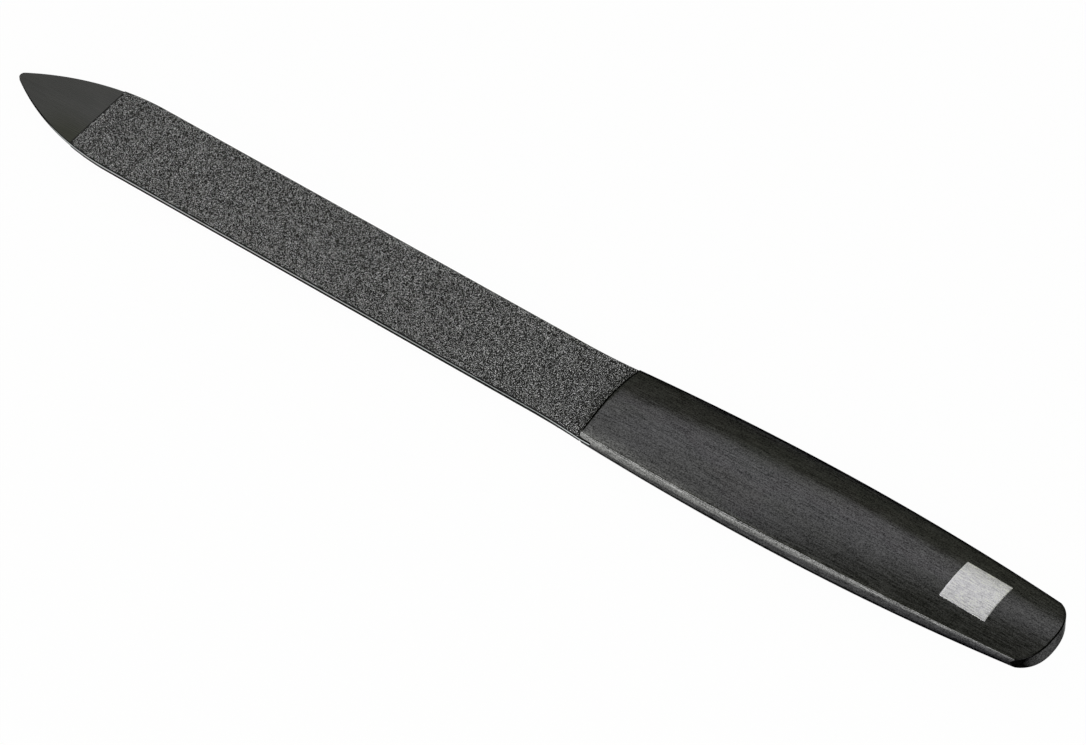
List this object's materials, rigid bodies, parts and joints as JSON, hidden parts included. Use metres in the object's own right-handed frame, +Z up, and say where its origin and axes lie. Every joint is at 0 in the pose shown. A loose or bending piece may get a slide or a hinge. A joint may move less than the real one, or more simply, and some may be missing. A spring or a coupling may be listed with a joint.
{
  "type": "nail file",
  "caption": "Flat nail file with an abrasive-coated pointed steel blade and a slim domed black metal handle.",
  "frame": {"origin": "under the middle of the file's length, on the surface that the handle's belly rests on", "axes": "+X from the nose to the butt, along the blade; +Z up, square to the blade's flat; +Y to the left side"},
  "size_m": [0.16, 0.0144, 0.0068],
  "materials": {
    "blade_steel": "dark smooth steel",
    "abrasive_grit": "rough dark grey grit with fine sparkle",
    "black_handle": "black, brushed lengthwise",
    "filler_resin": "plain, not seen",
    "bare_badge": "bright satin"
  },
  "bodies": {
    "root": {"blade": "blade_steel", "upper_grit_coat": "abrasive_grit", "lower_grit_coat": "abrasive_grit", "upper_handle_shell": "black_handle", "lower_handle_shell": "black_handle", "handle_core": "filler_resin", "badge_inlay": "bare_badge"}
  },
  "joints": []
}
